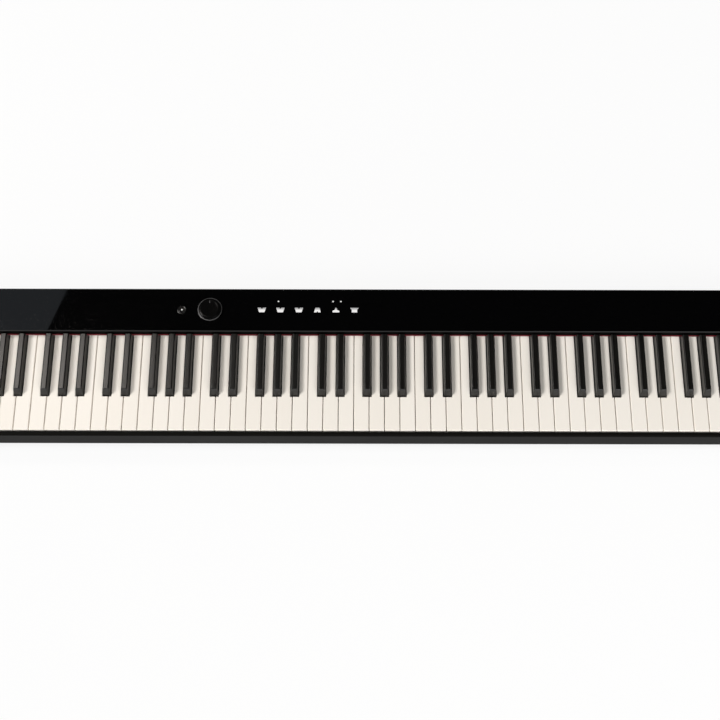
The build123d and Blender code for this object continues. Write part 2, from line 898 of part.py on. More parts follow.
# Socket for a jack plug, with its mouth at the origin facing +Z: a round bush on a square body, bored
def jack_socket(bush_length):
    with BuildPart() as socket:
        with BuildSketch():
            Circle(socket_radius)
        extrude(amount=-bush_length)
        with BuildSketch(Plane.XY.offset(-bush_length)):
            Rectangle(socket_body, socket_body)
        extrude(amount=-socket_body_length)
        with BuildSketch():
            Circle(socket_bore)
        extrude(amount=-socket_bore_depth, mode=Mode.SUBTRACT)
    return socket.part


# Three sockets in the bay, for pedal and line, and two for headphones in the left end block
rear_mouth = bay_floor + socket_proud
rear_mouths = [Plane((x, rear_mouth, socket_z), x_dir=(1, 0, 0), z_dir=(0, 1, 0)) for x in socket_xs]
front_mouths = [Plane((x, front, phones_z), x_dir=(1, 0, 0), z_dir=(0, -1, 0)) for x in phones_xs]

with BuildPart() as jack_sockets:
    with Locations(*rear_mouths):
        add(jack_socket(rear_mouth - bay_back))
    with Locations(*front_mouths):
        add(jack_socket(wall))
save(jack_sockets.part, "jack_sockets")


# Power inlet: a block with a round mouth and a centre pin
with BuildPart() as power_inlet:
    inlet_middle = (inlet_x, main_board_top + inlet_height / 2)
    with BuildSketch(Plane.XZ.offset(-bay_floor - seam)):
        with Locations(inlet_middle):
            Rectangle(inlet_width, inlet_height)
    extrude(amount=inlet_length)
    with BuildSketch(Plane.XZ.offset(-bay_floor - seam)):
        with Locations(inlet_middle):
            Circle(inlet_bore)
            Circle(inlet_pin, mode=Mode.SUBTRACT)
    extrude(amount=inlet_depth, mode=Mode.SUBTRACT)
save(power_inlet.part, "power_inlet")

# Data socket: a square metal shell with a tongue inside
with BuildPart() as data_socket:
    data_middle = (data_x, main_board_top + data_height / 2)
    with BuildSketch(Plane.XZ.offset(-bay_floor - seam)):
        with Locations(data_middle):
            Rectangle(data_width, data_height)
    extrude(amount=data_length)
    with BuildSketch(Plane.XZ.offset(-bay_floor - seam)):
        with Locations(data_middle):
            Rectangle(data_width - 2 * data_wall, data_height - 2 * data_wall)
            Rectangle(tongue_width, tongue_height, mode=Mode.SUBTRACT)
    extrude(amount=data_depth, mode=Mode.SUBTRACT)
save(data_socket.part, "data_socket")


# Speakers: a flange on the floor of the case, a tapered basket hollowed to the cone, and a magnet on top
basket_top = floor_top + speaker_flange + basket_height
basket_length = speaker_length - 2 * speaker_rim
basket_width = speaker_width - 2 * speaker_rim

with BuildPart() as speakers:
    with BuildSketch(Plane.XY.offset(floor_top)):
        with Locations(*speakers_at):
            Rectangle(speaker_length, speaker_width)
    extrude(amount=speaker_flange)
    with BuildSketch(Plane.XY.offset(floor_top + speaker_flange)):
        with Locations(*speakers_at):
            Rectangle(basket_length, basket_width)
    extrude(amount=basket_height, taper=basket_taper)
    with BuildSketch(Plane.XY.offset(basket_top - basket_wall)):
        with Locations(*speakers_at):
            Circle(magnet_radius)
    extrude(amount=magnet_height + basket_wall)
    with BuildSketch(Plane.XY.offset(floor_top)):
        with Locations(*speakers_at):
            Rectangle(basket_length - 2 * basket_wall, basket_width - 2 * basket_wall)
    extrude(amount=basket_height, taper=basket_taper, mode=Mode.SUBTRACT)
save(speakers.part, "speakers")

print("white swing", round(degrees(white_swing), 3), "black swing", round(degrees(black_swing), 3))
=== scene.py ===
import bpy
import bmesh
import math
from mathutils import Matrix, Vector


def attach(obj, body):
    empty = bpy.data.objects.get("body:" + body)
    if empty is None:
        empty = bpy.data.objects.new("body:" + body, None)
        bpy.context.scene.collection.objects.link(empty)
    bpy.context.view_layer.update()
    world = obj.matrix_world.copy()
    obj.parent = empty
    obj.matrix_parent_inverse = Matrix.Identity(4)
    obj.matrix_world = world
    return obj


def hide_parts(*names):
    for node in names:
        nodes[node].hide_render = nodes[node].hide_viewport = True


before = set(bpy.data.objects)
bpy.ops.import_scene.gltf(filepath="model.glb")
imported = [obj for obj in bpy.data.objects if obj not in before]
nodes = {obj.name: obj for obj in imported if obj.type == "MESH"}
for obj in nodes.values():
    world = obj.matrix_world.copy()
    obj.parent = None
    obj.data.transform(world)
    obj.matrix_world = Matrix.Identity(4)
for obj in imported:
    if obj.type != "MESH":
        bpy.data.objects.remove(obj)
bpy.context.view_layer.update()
scene = bpy.context.scene
scene.view_settings.view_transform = "Standard"
mm = 0.001
print("frame loaded with", len(nodes), "nodes")


# finishes

class Wire:  # one socket, so that sums on it can be written as sums
    def __init__(self, finish, socket):
        self.finish = finish
        self.socket = socket

    def maths(self, operation, first, second):
        return self.finish.node("Math", {"operation": operation}, {0: first, 1: second})

    def __add__(self, other):
        return self.maths("ADD", self, other)

    def __radd__(self, other):
        return self.maths("ADD", other, self)

    def __sub__(self, other):
        return self.maths("SUBTRACT", self, other)

    def __rsub__(self, other):
        return self.maths("SUBTRACT", other, self)

    def __mul__(self, other):
        return self.maths("MULTIPLY", self, other)

    def __rmul__(self, other):
        return self.maths("MULTIPLY", other, self)

    def __truediv__(self, other):
        return self.maths("DIVIDE", self, other)

    def __rtruediv__(self, other):
        return self.maths("DIVIDE", other, self)


class Finish:  # a material or world and the nodes that feed its shader
    def __init__(self, name, owner=None):
        self.owner = owner or bpy.data.materials.new(name)
        self.owner.use_nodes = True
        self.tree = self.owner.node_tree
        self.shader = self.tree.nodes.get("Principled BSDF")

    def node(self, kind, settings={}, inputs={}, out=0):
        made = self.tree.nodes.new("ShaderNode" + kind)
        for name, value in settings.items():
            setattr(made, name, value)
        self.plug(made, inputs)
        return Wire(self, made.outputs[out])

    def plug(self, made, inputs):
        for name, value in inputs.items():
            if isinstance(value, Wire):
                self.tree.links.new(value.socket, made.inputs[name])
            else:
                made.inputs[name].default_value = value

    def surface(self, **inputs):  # spaces in socket names are written as underscores
        self.plug(self.shader, {name.replace("_", " "): value for name, value in inputs.items()})
        return self.owner

    def place(self, centre=(0, 0, 0), stretch=(1, 1, 1)):
        coords = self.node("TexCoord", out=3)
        shift = tuple(-c * s for c, s in zip(centre, stretch))
        return self.node("Mapping", {}, {"Vector": coords, "Location": shift, "Scale": stretch})

    def axes(self, vector):
        return [self.node("SeparateXYZ", {}, {"Vector": vector}, out) for out in range(3)]

    def grain(self, scale, stretch=(1, 1, 1), detail=2.0, roughness=0.5):
        return self.node("TexNoise", {}, {"Vector": self.place(stretch=stretch), "Scale": scale,
                                          "Detail": detail, "Roughness": roughness})

    def spread(self, value, low, high, lowOut=0.0, highOut=1.0):
        return self.node("MapRange", {"interpolation_type": "SMOOTHSTEP"},
                         {"Value": value, "From Min": low, "From Max": high,
                          "To Min": lowOut, "To Max": highOut})

    def blend(self, mask, low, high):
        return self.node("Mix", {"data_type": "RGBA"}, {0: mask, 6: low, 7: high}, 2)

    def bump(self, height, strength, depth):
        return self.node("Bump", {}, {"Strength": strength, "Distance": depth, "Height": height})


def paint(red, green, blue):  # a colour as a screen shows it, 0 to 255
    parts = [c / 255 for c in (red, green, blue)]
    return tuple(c / 12.92 if c < 0.04045 else ((c + 0.055) / 1.055) ** 2.4 for c in parts) + (1.0,)


keyRow = {"pitch": 23.5, "first": -611.0}


def ivoryFinish():
    finish = Finish("ivoryKeys")
    x, y, z = finish.axes(finish.place())
    place = (x / mm - keyRow["first"]) / keyRow["pitch"]
    number = finish.node("Math", {"operation": "FLOOR"}, {0: place})
    tone = finish.node("TexWhiteNoise", {"noise_dimensions": "1D"}, {"W": number + 0.37})
    cloud = finish.grain(9.0, detail=3.0)
    streak = finish.grain(260.0, (1, 0.05, 1))
    mask = 0.55 * tone + 0.35 * cloud + 0.1 * streak
    colour = finish.blend(mask, paint(245, 238, 227), paint(249, 243, 234))
    rough = 0.26 + 0.07 * streak + 0.08 * cloud
    return finish.surface(Base_Color=colour, Roughness=rough, Specular_IOR_Level=0.45,
                          Normal=finish.bump(streak, 0.10, 0.00006))


def ebonyFinish():
    finish = Finish("ebonyKeys")
    streak = finish.grain(700.0, (1, 0.018, 0.6), 3.0, 0.6)
    fleck = finish.grain(1500.0, (1, 0.35, 1), 1.0)
    cloud = finish.grain(30.0, (1, 0.3, 1))
    mask = finish.spread(0.7 * streak + 0.2 * fleck + 0.1 * cloud, 0.3, 0.7)
    colour = finish.blend(mask, (0.0026, 0.0024, 0.0021, 1), (0.0088, 0.0081, 0.0072, 1))
    rough = 0.22 + 0.10 * streak + 0.04 * cloud
    return finish.surface(Base_Color=colour, Roughness=rough, Specular_IOR_Level=0.5,
                          Normal=finish.bump(streak + 0.4 * fleck, 0.35, 0.00006))


def caseFinish():
    finish = Finish("casePlastic")
    pits = finish.node("TexVoronoi", {"feature": "SMOOTH_F1"},
                       {"Vector": finish.place(), "Scale": 1400.0})
    fine = finish.grain(2600.0, detail=1.0)
    cloud = finish.grain(6.0, detail=3.0)
    mask = 0.5 * cloud + 0.5 * pits
    colour = finish.blend(mask, (0.0026, 0.0024, 0.0019, 1), (0.0052, 0.0048, 0.0039, 1))
    rough = 0.47 + 0.12 * cloud + 0.08 * fine
    return finish.surface(Base_Color=colour, Roughness=rough, Specular_IOR_Level=0.05,
                          Normal=finish.bump(pits + 0.3 * fine, 0.3, 0.00012))


def glossFinish():
    finish = Finish("panelGloss")
    smudge = finish.spread(finish.grain(17.0, (1, 1.7, 1), 4.0, 0.6), 0.45, 0.8)
    dust = finish.spread(finish.grain(900.0, detail=0.0), 0.73, 0.8)
    colour = finish.blend(dust, (0.0012, 0.0012, 0.0013, 1), (0.0040, 0.0040, 0.0042, 1))
    rough = 0.018 + 0.03 * smudge + 0.1 * dust
    return finish.surface(Base_Color=colour, Roughness=rough, Specular_IOR_Level=0.5)


def feltFinish(name, low, high, fuzz):
    finish = Finish(name)
    fibre = finish.grain(900.0, (1, 1.6, 1.6), 4.0, 0.7)
    tuft = finish.grain(160.0, detail=2.0)
    mask = finish.spread(0.6 * fibre + 0.4 * tuft, 0.32, 0.68)
    return finish.surface(Base_Color=finish.blend(mask, low, high), Roughness=0.85 + 0.1 * fibre,
                          Normal=finish.bump(fibre + 0.5 * tuft, 0.8, 0.0004), Sheen_Weight=fuzz,
                          Sheen_Roughness=0.5, Specular_IOR_Level=0.2)


def spunFinish(name, centre, low, high, roughness, shine=0.5):
    finish = Finish(name)
    flat = finish.place(centre, (1, 1, 0))
    reach = finish.node("VectorMath", {"operation": "LENGTH"}, {0: flat}, 1)
    ring = finish.node("TexNoise", {"noise_dimensions": "1D"},
                       {"W": reach / mm, "Scale": 7.0, "Detail": 2.0})
    cloud = finish.grain(90.0)
    colour = finish.blend(0.7 * ring + 0.3 * cloud, low, high)
    return finish.surface(Base_Color=colour, Roughness=roughness + 0.12 * ring + 0.06 * cloud,
                          Normal=finish.bump(ring, 0.25, 0.00006), Specular_IOR_Level=shine)


def litFinish(name, place, dim, bright):
    finish = Finish(name)
    x, y, z = finish.axes(finish.place(place))
    lower = finish.spread(y / mm, -2.2, 3.4, 1.0, 0.0)
    cell = finish.grain(1200.0, detail=1.0)
    glow = finish.blend(finish.spread(0.85 * lower + 0.15 * cell, 0.15, 0.75), dim, bright)
    unlit = finish.blend(cell, (0.3, 0.3, 0.3, 1), (0.36, 0.36, 0.36, 1))
    return finish.surface(Base_Color=unlit, Roughness=0.35, Emission_Color=glow, Emission_Strength=1.0)


def metalFinish(name, low, high, roughness, stretch=(1, 1, 1)):
    finish = Finish(name)
    brush = finish.grain(1500.0, stretch, 2.0)
    cloud = finish.grain(60.0, detail=3.0)
    return finish.surface(Base_Color=finish.blend(0.6 * cloud + 0.4 * brush, low, high), Metallic=1.0,
                          Roughness=roughness + 0.14 * brush + 0.08 * cloud,
                          Normal=finish.bump(brush, 0.12, 0.00004))


def mouldedFinish(name, low, high, roughness, scale, shine=0.5):
    finish = Finish(name)
    pebble = finish.grain(scale, detail=2.0)
    cloud = finish.grain(25.0, detail=3.0)
    return finish.surface(Base_Color=finish.blend(0.5 * pebble + 0.5 * cloud, low, high),
                          Roughness=roughness + 0.1 * cloud + 0.06 * pebble, Specular_IOR_Level=shine,
                          Normal=finish.bump(pebble, 0.25, 0.0001))


def boardFinish():
    finish = Finish("boardLacquer")
    weave = finish.grain(1800.0, (1, 0.2, 1)) + finish.grain(1800.0, (0.2, 1, 1))
    runs = finish.node("TexBrick", {"offset": 0.37},
                       {"Vector": finish.place(stretch=(1, 1, 0)), "Scale": 160.0,
                        "Mortar Size": 0.06, "Brick Width": 1.7}, 1)
    colour = finish.blend(0.35 * weave + 0.3 * runs, (0.006, 0.055, 0.022, 1), (0.020, 0.120, 0.052, 1))
    return finish.surface(Base_Color=colour, Roughness=0.34 + 0.1 * weave, Normal=finish.bump(runs, 0.3, 0.00005))


# profiles are (radius, depth) steps, measured from the edge or top that they round
knob = {"centre": (-0.224, 0.0805, 0.0), "skirt": 19.0, "skirtLow": 94.6, "skirtTop": 97.0, "foot": 16.5,
        "rim": 16.0, "top": 102.0, "ring": 17.6, "ringDeep": 0.75, "steps": 96, "chamfer": 0.5,
        "skirtSoft": ((0.0, 0.7), (0.2, 0.2), (0.7, 0.0)), "footSoft": ((0.5, 0.0), (0.1, 0.2), (0.0, 0.7)),
        "rimSoft": ((0.0, 0.9), (0.25, 0.3), (0.9, 0.0)),
        "dish": ((12.6, 0.0), (12.3, 0.18), (11.9, 0.25), (0.0, 0.3))}
knobMark = {"x": -224.0, "y": 92.0, "long": 6.6, "wide": 1.2, "sunk": 0.5, "below": 0.12, "round": 0.5}
powerButton = {"centre": (-0.2677, 0.0805, 0.0), "radius": 7.2, "low": 92.5, "top": 94.6, "steps": 64,
               "face": ((7.2, 0.5), (7.05, 0.15), (6.7, 0.0), (5.6, 0.0), (5.4, 0.15), (5.1, 0.2), (4.8, 0.15),
                        (4.6, 0.0), (2.2, 0.05), (0.0, 0.05)),
               "dot": ((0.0, -0.12), (0.8, -0.08), (1.2, 0.06), (1.2, 0.4), (0.0, 0.4)), "dotSteps": 24}
shinyBlack = ((0.0012, 0.0012, 0.0012, 1), (0.0030, 0.0030, 0.0030, 1))

finishes = {
    "ivory": ivoryFinish(),
    "ebony": ebonyFinish(),
    "case": caseFinish(),
    "gloss": glossFinish(),
    "lip": mouldedFinish("lipPlastic", (0.0018, 0.0017, 0.0015, 1), (0.0032, 0.0030, 0.0027, 1), 0.7, 1800.0,
                         0.02),
    "redFelt": feltFinish("redFelt", (0.090, 0.0050, 0.010, 1), (0.24, 0.014, 0.025, 1), 0.35),
    "greyFelt": feltFinish("greyFelt", (0.16, 0.16, 0.155, 1), (0.30, 0.30, 0.29, 1), 0.2),
    "knob": spunFinish("spunKnob", knob["centre"], *shinyBlack, 0.10, 0.1),
    # lighter grey: a painted highlight on the knob's skirt edge, and also the pointer mark's own colour
    "knobRing": spunFinish("spunRing", knob["centre"], (0.040, 0.040, 0.040, 1), (0.060, 0.060, 0.060, 1),
                           0.3),
    "power": spunFinish("spunButton", powerButton["centre"], *shinyBlack, 0.09),
    "nickel": metalFinish("nickel", (0.56, 0.54, 0.50, 1), (0.68, 0.66, 0.62, 1), 0.20),
    "steel": metalFinish("steel", (0.46, 0.46, 0.47, 1), (0.60, 0.60, 0.61, 1), 0.26, (0.03, 1, 1)),
    "blackSteel": metalFinish("blackSteel", (0.030, 0.030, 0.031, 1), (0.050, 0.050, 0.051, 1), 0.38),
    "brass": metalFinish("brass", (0.58, 0.40, 0.15, 1), (0.70, 0.50, 0.21, 1), 0.26),
    "rubber": mouldedFinish("footRubber", (0.010, 0.010, 0.010, 1), (0.020, 0.020, 0.019, 1), 0.72, 1600.0),
    "silicone": mouldedFinish("greySilicone", (0.22, 0.22, 0.22, 1), (0.30, 0.30, 0.29, 1), 0.6, 900.0),
    "frame": mouldedFinish("greyFrame", (0.085, 0.085, 0.086, 1), (0.125, 0.125, 0.126, 1), 0.5, 1100.0),
    "socket": mouldedFinish("socketPlastic", (0.010, 0.010, 0.010, 1), (0.018, 0.018, 0.018, 1), 0.42, 2000.0),
    "speaker": mouldedFinish("speakerPaint", (0.035, 0.035, 0.036, 1), (0.055, 0.055, 0.056, 1), 0.4, 1300.0),
    "lamp": litFinish("lampGlow", (0.0, 0.0949, 0.0), (0.40, 0.40, 0.39, 1), (0.50, 0.50, 0.48, 1)),
    "sign": litFinish("signGlow", (0.0, 0.0805, 0.0), (0.12, 0.12, 0.12, 1), (0.55, 0.54, 0.53, 1)),
    "board": boardFinish(),
}
print("finishes made:", len(finishes))


# mesh helpers, all in millimetres until a piece is finished

def polygon(bm, points):
    return bm.faces.new([bm.verts.new(p) for p in points])


def vertsOf(made):
    return [v for v in made["geom"] if isinstance(v, bmesh.types.BMVert)]


def openEdges(made):
    return [e for e in made["geom"] if isinstance(e, bmesh.types.BMEdge) and e.is_boundary]


def uprights(bm):
    return [e for e in bm.edges if abs(e.verts[0].co.z - e.verts[1].co.z) > 0.05]


def roundOff(bm, edges, width, segments):
    bmesh.ops.bevel(bm, geom=edges, offset=width, offset_type="OFFSET", segments=segments, profile=0.5,
                    affect="EDGES", material=-1, clamp_overlap=True)


def bend(edge):
    return edge.calc_face_angle(0.0)


def facing(centre, axis):  # turns +Z to an axis and moves it to a place
    aim = Vector((0, 0, 1)).rotation_difference(Vector(axis)).to_matrix().to_4x4()
    return Matrix.Translation(centre) @ aim


def spun(points, steps, centre, axis=(0, 0, 1)):  # turns a profile of (radius, height) points about an axis
    bm = bmesh.new()
    verts = [bm.verts.new((r, 0, h)) for r, h in points]
    edges = [bm.edges.new(pair) for pair in zip(verts, verts[1:])]
    bmesh.ops.spin(bm, geom=verts + edges, cent=(0, 0, 0), axis=(0, 0, 1), angle=math.tau, steps=steps,
                   use_merge=True)
    bmesh.ops.remove_doubles(bm, verts=bm.verts, dist=0.001)
    bmesh.ops.recalc_face_normals(bm, faces=bm.faces)
    bmesh.ops.transform(bm, matrix=facing(centre, axis), verts=bm.verts)
    return bm


def join(bm, other, step=(0, 0, 0)):  # adds a copy of another mesh
    mesh = bpy.data.meshes.new("copy")
    other.to_mesh(mesh)
    before = len(bm.verts)
    bm.from_mesh(mesh)
    bpy.data.meshes.remove(mesh)
    bm.verts.ensure_lookup_table()
    bmesh.ops.translate(bm, verts=bm.verts[before:], vec=step)


def cadCopy(*names):
    bm = bmesh.new()
    for name in names:
        bm.from_mesh(nodes[name].data)
    bmesh.ops.remove_doubles(bm, verts=bm.verts, dist=2e-6)
    bmesh.ops.scale(bm, vec=(1 / mm,) * 3, verts=bm.verts)
    bmesh.ops.dissolve_limit(bm, angle_limit=math.radians(0.6), use_dissolve_boundaries=False,
                             verts=bm.verts, edges=bm.edges, delimit=set())
    return bm


def title(name):  # a CAD node's name in camelCase
    words = name.split("_")
    return words[0] + "".join(w.capitalize() for w in words[1:])


def piece(name, bm, body, finish, replaces=(), smooth=38, edge=0.0):
    bmesh.ops.scale(bm, vec=(mm,) * 3, verts=bm.verts)
    mesh = bpy.data.meshes.new(name)
    bm.to_mesh(mesh)
    bm.free()
    mesh.shade_smooth()
    mesh.set_sharp_from_angle(angle=math.radians(smooth))
    mesh.materials.append(finishes[finish])
    made = bpy.data.objects.new(name, mesh)
    scene.collection.objects.link(made)
    if edge:
        softened = made.modifiers.new("softened", "BEVEL")
        softened.width = edge * mm
        softened.segments = 2
        softened.limit_method = "ANGLE"
        softened.angle_limit = math.radians(32)
        softened.use_clamp_overlap = True
    made.modifiers.new("weighted", "WEIGHTED_NORMAL").keep_sharp = True
    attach(made, body)
    if replaces:
        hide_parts(*replaces)
    return made


# the eighty-eight keys

whiteKey = {"lift": 75.0, "bend": 20, "round": 0.33, "segments": 2}
blackKey = {"lift": 76.5, "bend": 12, "round": 0.62, "segments": 3}

whiteNodes = [n for n in nodes if n.startswith("white_key_") or
              (n.startswith("outer_") and n.endswith("_keys"))]
blackNodes = [n for n in nodes if n.startswith("black_key_") or n.startswith("outer_black_keys_")]

for names, shape, finish, slot in ((whiteNodes, whiteKey, "ivory", "key_white"),
                                   (blackNodes, blackKey, "ebony", "key_black")):
    for name in names:
        bm = cadCopy(name)
        edges = [e for e in bm.edges if max(v.co.z for v in e.verts) > shape["lift"]
                 and bend(e) > math.radians(shape["bend"])]
        roundOff(bm, edges, shape["round"], shape["segments"])
        piece(title(name), bm, name, finish, [name])
print("keys rounded:", len(whiteNodes), "white and", len(blackNodes), "black pieces")


# the case

caseEdges = {"lower_case": 0.7, "rear_panel": 0.5, "left_end_block": 0.9, "right_end_block": 0.9,
             "front_rail": 0.4}
panelLip = {"below": 90.0, "edge": 0.5}

for name, edge in caseEdges.items():
    piece(title(name), cadCopy(name), "case", "case", [name], edge=edge)

panel = cadCopy("top_panel")
panel.normal_update()
for face in panel.faces:  # the turned-down front lip is matte
    if face.normal.y < -0.9 and face.calc_center_median().z < panelLip["below"]:
        face.material_index = 1
topPanel = piece("topPanel", panel, "case", "gloss", ["top_panel"], edge=panelLip["edge"])
topPanel.data.materials.append(finishes["lip"])
print("case made")


# felt strip behind the keys, and the felts that the keys stop on

keyFelt = {"length": 1222.0, "front": 44.0, "back": 47.5, "low": 76.6, "high": 80.0, "round": 0.9,
           "cuts": 260, "wave": 0.07}


def lengthways(bm):
    return [e for e in bm.edges if abs(e.verts[0].co.x - e.verts[1].co.x) > 1]


def feltStrip():
    bm = bmesh.new()
    bmesh.ops.create_cube(bm, size=1.0)
    size = (keyFelt["length"], keyFelt["back"] - keyFelt["front"], keyFelt["high"] - keyFelt["low"])
    bmesh.ops.scale(bm, vec=size, verts=bm.verts)
    middle = (0, (keyFelt["back"] + keyFelt["front"]) / 2, (keyFelt["high"] + keyFelt["low"]) / 2)
    bmesh.ops.translate(bm, vec=middle, verts=bm.verts)
    roundOff(bm, [e for e in lengthways(bm) if e.verts[0].co.y < middle[1]], keyFelt["round"], 3)
    bmesh.ops.subdivide_edges(bm, edges=lengthways(bm), cuts=keyFelt["cuts"], use_grid_fill=True)
    for v in bm.verts:  # the cut edge is never quite straight
        if v.co.y < middle[1]:
            v.co.y += keyFelt["wave"] * (math.sin(v.co.x * 0.37) + math.sin(v.co.x * 0.113 + v.co.z))
    return bm


piece("keyFelt", feltStrip(), "case", "redFelt", ["key_felt"])
piece("stopFelts", cadCopy("stop_felts"), "case", "greyFelt", ["stop_felts"], edge=0.6)
print("felts laid")


# controls on the top panel

def knobMesh():
    k = knob
    points = [(0, k["skirtLow"]), (k["skirt"] - k["chamfer"], k["skirtLow"]),
              (k["skirt"], k["skirtLow"] + k["chamfer"])]
    points += [(k["skirt"] - inward, k["skirtTop"] - down) for inward, down in k["skirtSoft"]]
    points += [(k["ring"], k["skirtTop"])]
    points += [(k["foot"] + outward, k["skirtTop"] + up) for outward, up in k["footSoft"]]
    points += [(k["rim"] - inward, k["top"] - down) for inward, down in k["rimSoft"]]
    points += [(radius, k["top"] - down) for radius, down in k["dish"]]
    return spun(points, k["steps"], tuple(c / mm for c in k["centre"]))


def rectangle(x, y, wide, deep):
    right, back = wide / 2, deep / 2
    return [(x - right, y - back), (x + right, y - back), (x + right, y + back), (x - right, y + back)]


def slab(points, low, high):  # a flat outline given thickness upwards
    bm = bmesh.new()
    made = bmesh.ops.extrude_face_region(bm, geom=[polygon(bm, [(x, y, low) for x, y in points])])
    bmesh.ops.translate(bm, verts=vertsOf(made), vec=(0, 0, high - low))
    bmesh.ops.recalc_face_normals(bm, faces=bm.faces)
    return bm


turnedKnob = knobMesh()
knobX, knobY = knob["centre"][0] / mm, knob["centre"][1] / mm
for face in turnedKnob.faces:  # the edge of the skirt is painted lighter grey, a painted highlight ring
    at = face.calc_center_median()
    reach = math.hypot(at.x - knobX, at.y - knobY)
    if abs(at.z - knob["skirtTop"]) < knob["ringDeep"] and reach > knob["ring"]:
        face.material_index = 1
volumeKnob = piece("volumeKnob", turnedKnob, "volume", "knob", ["volume_knob"])
volumeKnob.data.materials.append(finishes["knobRing"])

mark = slab(rectangle(knobMark["x"], knobMark["y"], knobMark["wide"], knobMark["long"]),
            knob["top"] - knobMark["sunk"], knob["top"] - knobMark["below"])
roundOff(mark, uprights(mark), knobMark["round"], 4)
piece("knobMark", mark, "volume", "knobRing")

buttonTop = powerButton["top"]
buttonAt = tuple(c / mm for c in powerButton["centre"])
buttonPoints = [(0, powerButton["low"]), (powerButton["radius"], powerButton["low"])]
buttonPoints += [(radius, buttonTop - down) for radius, down in powerButton["face"]]
piece("powerButton", spun(buttonPoints, powerButton["steps"], buttonAt), "power", "power",
      ["power_button"])
dotPoints = [(radius, buttonTop - down) for radius, down in powerButton["dot"]]
piece("powerDot", spun(dotPoints, powerButton["dotSteps"], buttonAt), "power", "lamp")
print("knob and button turned")


# lit touch signs and lamps

signs = {"first": -143.6, "pitch": 28.8, "middle": 80.5, "width": 13.4, "depth": 7.6, "low": 93.9,
         "high": 94.06, "round": 0.35}
lamps = {"places": (-118.0, -33.0, -20.8), "row": 94.9, "size": 2.2, "low": 92.4, "high": 94.04,
         "round": 0.6}


def trapezoid(wide, narrow, deep, notch):  # wider at the back, with a small notch in the back edge
    half = deep / 2
    return [(-wide / 2, half), (-narrow / 2, -half), (narrow / 2, -half), (wide / 2, half),
            (notch / 2, half), (notch / 2, half - 1.4), (-notch / 2, half - 1.4), (-notch / 2, half)]


def signOutlines():
    deep = signs["depth"]
    wide = signs["width"]
    dipped = trapezoid(wide, 8.2, deep, 2.7)
    upright = [(x * 0.86, -y) for x, y in reversed(trapezoid(12.2, 7.4, deep, 2.4))]
    half = deep / 2
    peaked = [(-4.9, -half), (4.9, -half), (5.5, -2.2), (4.6, -0.6), (2.2, -0.2), (0.9, half), (-0.9, half),
              (-2.2, -0.2), (-4.6, -0.6), (-5.5, -2.2)]
    plain = [(-wide / 2, half), (-wide / 2 + 2.6, 0.2), (-wide / 2 + 2.4, -half), (wide / 2 - 2.4, -half),
             (wide / 2 - 2.6, 0.2), (wide / 2, half)]
    return [dipped, dipped, dipped, upright, peaked, plain]


signRow = bmesh.new()
for count, outline in enumerate(signOutlines()):
    x = signs["first"] + signs["pitch"] * count
    one = slab([(x + px, signs["middle"] + py) for px, py in outline], signs["low"], signs["high"])
    roundOff(one, uprights(one), signs["round"], 3)
    join(signRow, one)
    one.free()
piece("touchSigns", signRow, "case", "sign")

lampRow = bmesh.new()
for x in lamps["places"]:
    one = slab(rectangle(x, lamps["row"], lamps["size"], lamps["size"]), lamps["low"], lamps["high"])
    roundOff(one, uprights(one), lamps["round"], 4)
    join(lampRow, one)
    one.free()
piece("indicatorLamps", lampRow, "case", "lamp", ["indicator_lamps"])
print("signs and lamps lit")


# sockets, with a metal ring round each jack's mouth

sockets = {"rear": (-125.0, -95.0, -65.0), "rearHeight": 24.0, "rearMouth": 111.0, "front": (-646.75, -626.75),
           "frontHeight": 54.0, "frontMouth": -116.0, "bore": 3.25, "ring": 4.5,
           "ringSteps": 48}

piece("jackSockets", cadCopy("jack_sockets"), "case", "socket", ["jack_sockets"], edge=0.25)
piece("powerInlet", cadCopy("power_inlet"), "case", "socket", ["power_inlet"], edge=0.2)
piece("dataSocket", cadCopy("data_socket"), "case", "nickel", ["data_socket"], edge=0.15)

mouths = [((x, sockets["rearMouth"], sockets["rearHeight"]), (0, 1, 0)) for x in sockets["rear"]]
mouths += [((x, sockets["frontMouth"], sockets["frontHeight"]), (0, -1, 0)) for x in sockets["front"]]
rings = bmesh.new()
for centre, aim in mouths:
    bore, ring = sockets["bore"], sockets["ring"]
    one = spun([(bore, -0.1), (bore, 0.25), (bore + 0.2, 0.45), (ring - 0.4, 0.45), (ring, 0.2), (ring, -0.1),
                (bore, -0.1)], sockets["ringSteps"], centre, aim)
    join(rings, one)
    one.free()
piece("jackRings", rings, "case", "nickel")
print("sockets fitted")


# underside: feet, screws and the stand's threaded inserts

screws = {"x": (0.0, -250.0, 250.0, -500.0, 500.0), "y": (-68.0, 66.0), "endX": 636.75, "endY": (-60.0, 54.0),
          "face": 6.0, "radius": 4.0, "rise": 1.5, "steps": 24, "cross": (0.45, 2.0), "crossDeep": 0.8,
          "crown": 0.8, "flare": 1.25, "shoulder": 0.45, "turn": 0.7}
inserts = {"x": 540.0, "y": 60.0, "bore": 3.05, "flange": 5.2, "face": 6.0, "steps": 32}

piece("rubberFeet", cadCopy("rubber_feet"), "case", "rubber", ["rubber_feet"], edge=1.2)


